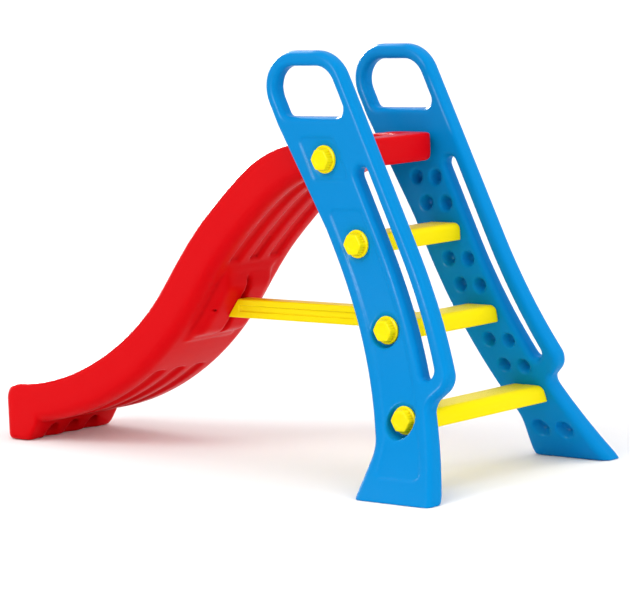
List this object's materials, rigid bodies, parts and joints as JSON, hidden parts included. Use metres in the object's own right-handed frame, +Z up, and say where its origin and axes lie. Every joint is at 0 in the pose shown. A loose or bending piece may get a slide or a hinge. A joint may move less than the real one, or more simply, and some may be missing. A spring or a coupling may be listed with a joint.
{
  "type": "toddler slide",
  "caption": "Folding toddler slide: two splayed side panels with handles, moulded steps, an S-curved chute hung on coaxial bolts and a swing-down brace.",
  "frame": {"origin": "on the floor, below the middle of the object's box", "axes": "+Z up, +X from the chute's exit towards the ladder, +Y the child's right side when facing the exit"},
  "size_m": [1.151, 0.534, 0.726],
  "materials": {
    "blue_plastic": "semi-gloss moulded",
    "red_plastic": "semi-gloss moulded",
    "yellow_plastic": "semi-gloss moulded",
    "yellow_bolt_plastic": "injection-moulded",
    "steel": "zinc-plated"
  },
  "bodies": {
    "ladder": {"left_panel": "blue_plastic", "right_panel": "blue_plastic", "lower_step": "yellow_plastic", "middle_step": "yellow_plastic", "upper_step": "yellow_plastic", "brace_pin": "steel", "left_lower_step_bolt": "yellow_bolt_plastic", "left_middle_step_bolt": "yellow_bolt_plastic", "left_upper_step_bolt": "yellow_bolt_plastic", "left_chute_bolt": "yellow_bolt_plastic", "right_lower_step_bolt": "yellow_bolt_plastic", "right_middle_step_bolt": "yellow_bolt_plastic", "right_upper_step_bolt": "yellow_bolt_plastic", "right_chute_bolt": "yellow_bolt_plastic"},
    "chute": {"chute": "red_plastic"},
    "brace": {"brace": "yellow_plastic"}
  },
  "joints": [
    {"name": "chute_fold", "type": "hinge", "parent": "ladder", "child": "chute", "pos_m": [0.26614, 0, 0.544], "axis": [0, -1, 0], "range_deg": [0, 45]},
    {"name": "brace_swing", "type": "hinge", "parent": "ladder", "child": "brace", "pos_m": [0.34498, 0, 0.263], "axis": [0, -1, 0], "range_deg": [0, 90]}
  ],
  "couplings": [
    {"joint": "brace_swing", "follows": "chute_fold", "ratio": 2}
  ]
}
